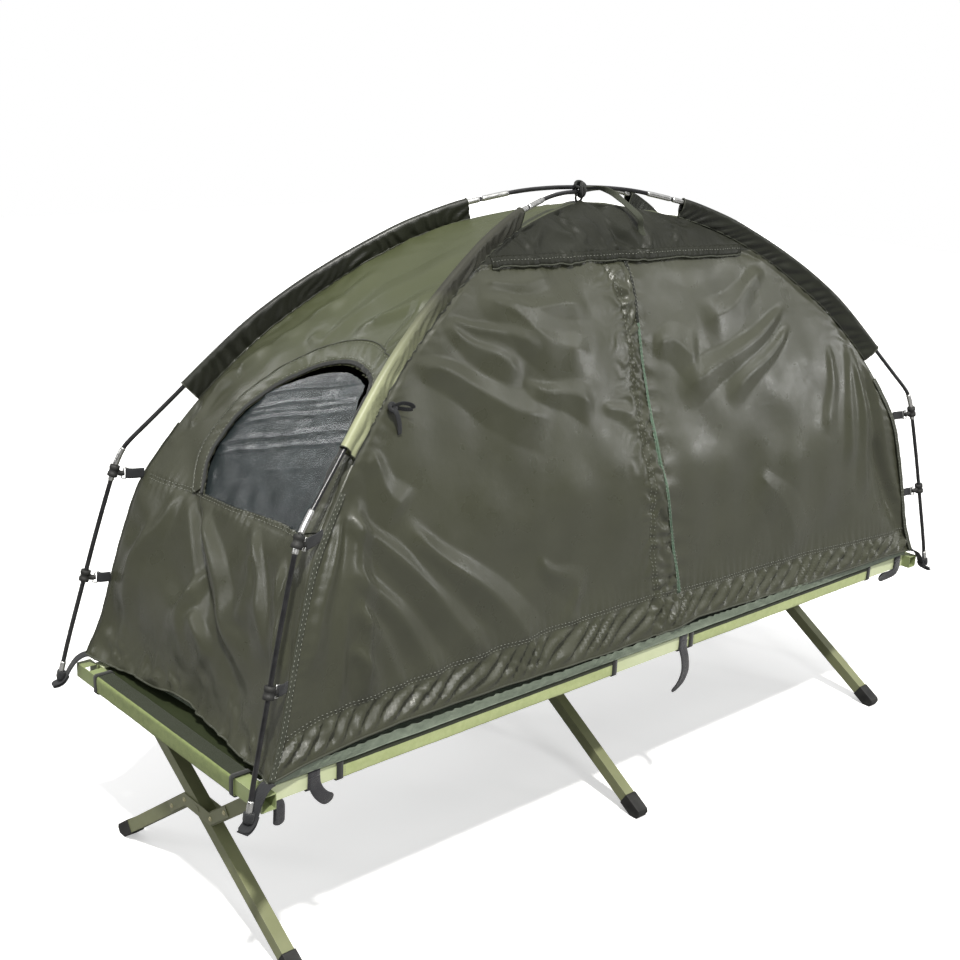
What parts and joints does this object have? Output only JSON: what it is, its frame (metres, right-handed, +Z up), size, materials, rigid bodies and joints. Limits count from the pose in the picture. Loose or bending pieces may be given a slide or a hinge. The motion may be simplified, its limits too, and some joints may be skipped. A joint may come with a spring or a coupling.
{
  "type": "tent cot",
  "caption": "Folding camp cot on crossed square-tube legs with a one-person dome tent strapped on top, held up by two arched poles.",
  "frame": {"origin": "floor under the middle of the cot", "axes": "+X from the head end to the foot end, +Z up, the door side faces -Y"},
  "size_m": [1.9992, 0.6694, 1.281],
  "materials": {
    "rail_paint": "pale green satin paint",
    "leg_paint": "olive satin paint",
    "bracket_steel": "olive paint on pressed steel",
    "rubber": "moulded black rubber",
    "bed_cloth": "dark green woven polyester",
    "sleeve_cloth": "yellow-green woven polyester",
    "tent_cloth": "grey-olive coated nylon, glossy in its folds",
    "window_film": "flexible film, glossy",
    "floor_cloth": "grey-green coated cloth",
    "pole_rod": "black fibreglass rod with metal ferrules",
    "webbing": "black woven webbing"
  },
  "bodies": {
    "near_rail": {"rail_near": "rail_paint", "rail_sleeve_near_head": "sleeve_cloth", "rail_sleeve_near_foot": "sleeve_cloth", "bed_canvas": "bed_cloth", "strap_near_head": "webbing", "strap_near_mid": "webbing", "strap_near_foot": "webbing"},
    "far_rail": {"rail_far": "rail_paint", "rail_sleeve_far_head": "sleeve_cloth", "rail_sleeve_far_foot": "sleeve_cloth", "strap_far_head": "webbing", "strap_far_mid": "webbing", "strap_far_foot": "webbing"},
    "leg_b_head": {"leg_b_upper_head": "leg_paint", "leg_b_lower_head": "leg_paint", "leg_bracket_head": "bracket_steel", "foot_cap_far_head": "rubber"},
    "leg_a_head": {"leg_a_head": "leg_paint", "foot_cap_near_head": "rubber"},
    "leg_b_mid": {"leg_b_upper_mid": "leg_paint", "leg_b_lower_mid": "leg_paint", "leg_bracket_mid": "bracket_steel", "foot_cap_far_mid": "rubber"},
    "leg_a_mid": {"leg_a_mid": "leg_paint", "foot_cap_near_mid": "rubber"},
    "leg_b_foot": {"leg_b_upper_foot": "leg_paint", "leg_b_lower_foot": "leg_paint", "leg_bracket_foot": "bracket_steel", "foot_cap_far_foot": "rubber"},
    "leg_a_foot": {"leg_a_foot": "leg_paint", "foot_cap_near_foot": "rubber"},
    "end_bar_head": {"end_bar_head": "rail_paint", "end_sleeve_head": "sleeve_cloth"},
    "end_bar_foot": {"end_bar_foot": "rail_paint", "end_sleeve_foot": "sleeve_cloth"},
    "tent": {"tent_wall_near": "tent_cloth", "tent_wall_far": "tent_cloth", "tent_end_head": "tent_cloth", "tent_end_foot": "tent_cloth", "tent_window": "window_film", "tent_floor": "floor_cloth", "pole_lower": "pole_rod", "pole_upper": "pole_rod", "pole_hub": "webbing", "pole_sleeve_near_head": "tent_cloth", "pole_clip_high_near_head": "webbing", "pole_clip_low_near_head": "webbing", "corner_web_near_head": "webbing", "pole_sleeve_near_foot": "tent_cloth", "pole_clip_high_near_foot": "webbing", "pole_clip_low_near_foot": "webbing", "corner_web_near_foot": "webbing", "pole_sleeve_far_head": "tent_cloth", "pole_clip_high_far_head": "webbing", "pole_clip_low_far_head": "webbing", "corner_web_far_head": "webbing", "pole_sleeve_far_foot": "tent_cloth", "pole_clip_high_far_foot": "webbing", "pole_clip_low_far_foot": "webbing", "corner_web_far_foot": "webbing"}
  },
  "joints": [
    {"name": "cot_fold", "type": "hinge", "parent": "near_rail", "child": "leg_b_mid", "pos_m": [0, -0.2495, 0.35], "axis": [-1, 0, 0], "range_deg": [0, 54], "deforming": ["bed_canvas", "tent_wall_near", "tent_wall_far", "tent_end_head", "tent_end_foot", "tent_window", "tent_floor", "pole_lower", "pole_upper", "pole_hub", "pole_sleeve_near_head", "corner_web_near_head", "pole_clip_high_near_head", "pole_clip_low_near_head", "pole_sleeve_near_foot", "corner_web_near_foot", "pole_clip_high_near_foot", "pole_clip_low_near_foot", "pole_sleeve_far_head", "corner_web_far_head", "pole_clip_high_far_head", "pole_clip_low_far_head", "pole_sleeve_far_foot", "corner_web_far_foot", "pole_clip_high_far_foot", "pole_clip_low_far_foot"]},
    {"name": "cross_mid", "type": "hinge", "parent": "leg_b_mid", "child": "leg_a_mid", "pos_m": [0, 0.00176, 0.19433], "axis": [1, 0, 0], "range_deg": [0, 108]},
    {"name": "far_hanger_mid", "type": "hinge", "parent": "leg_a_mid", "child": "far_rail", "pos_m": [0, 0.2495, 0.35], "axis": [-1, 0, 0], "range_deg": [0, 54]},
    {"name": "near_hanger_head", "type": "hinge", "parent": "near_rail", "child": "leg_b_head", "pos_m": [-0.8655, -0.2495, 0.35], "axis": [-1, 0, 0], "range_deg": [0, 54]},
    {"name": "cross_head", "type": "hinge", "parent": "leg_b_head", "child": "leg_a_head", "pos_m": [-0.8655, 0.00176, 0.19433], "axis": [1, 0, 0], "range_deg": [0, 108]},
    {"name": "near_hanger_foot", "type": "hinge", "parent": "near_rail", "child": "leg_b_foot", "pos_m": [0.8655, -0.2495, 0.35], "axis": [-1, 0, 0], "range_deg": [0, 54]},
    {"name": "cross_foot", "type": "hinge", "parent": "leg_b_foot", "child": "leg_a_foot", "pos_m": [0.8655, 0.00176, 0.19433], "axis": [1, 0, 0], "range_deg": [0, 108]},
    {"name": "end_bar_drop_head", "type": "hinge", "parent": "near_rail", "child": "end_bar_head", "pos_m": [-0.936, -0.277, 0.372], "axis": [-1, 0, 0], "range_deg": [0, 90]},
    {"name": "end_bar_drop_foot", "type": "hinge", "parent": "near_rail", "child": "end_bar_foot", "pos_m": [0.936, -0.277, 0.372], "axis": [-1, 0, 0], "range_deg": [0, 90]},
    {"name": "tent_lift", "type": "slide", "parent": "near_rail", "child": "tent", "axis": [0, 0, 1], "range_m": [0, 0.3], "deforming": ["corner_web_near_head", "corner_web_near_foot", "corner_web_far_head", "corner_web_far_foot"]}
  ],
  "couplings": [
    {"joint": "cross_mid", "follows": "cot_fold", "ratio": 2},
    {"joint": "far_hanger_mid", "follows": "cot_fold", "ratio": 1},
    {"joint": "near_hanger_head", "follows": "cot_fold", "ratio": 1},
    {"joint": "cross_head", "follows": "cot_fold", "ratio": 2},
    {"joint": "near_hanger_foot", "follows": "cot_fold", "ratio": 1},
    {"joint": "cross_foot", "follows": "cot_fold", "ratio": 2},
    {"joint": "end_bar_drop_head", "follows": "cot_fold", "ratio": 1.6667},
    {"joint": "end_bar_drop_foot", "follows": "cot_fold", "ratio": 1.6667}
  ]
}
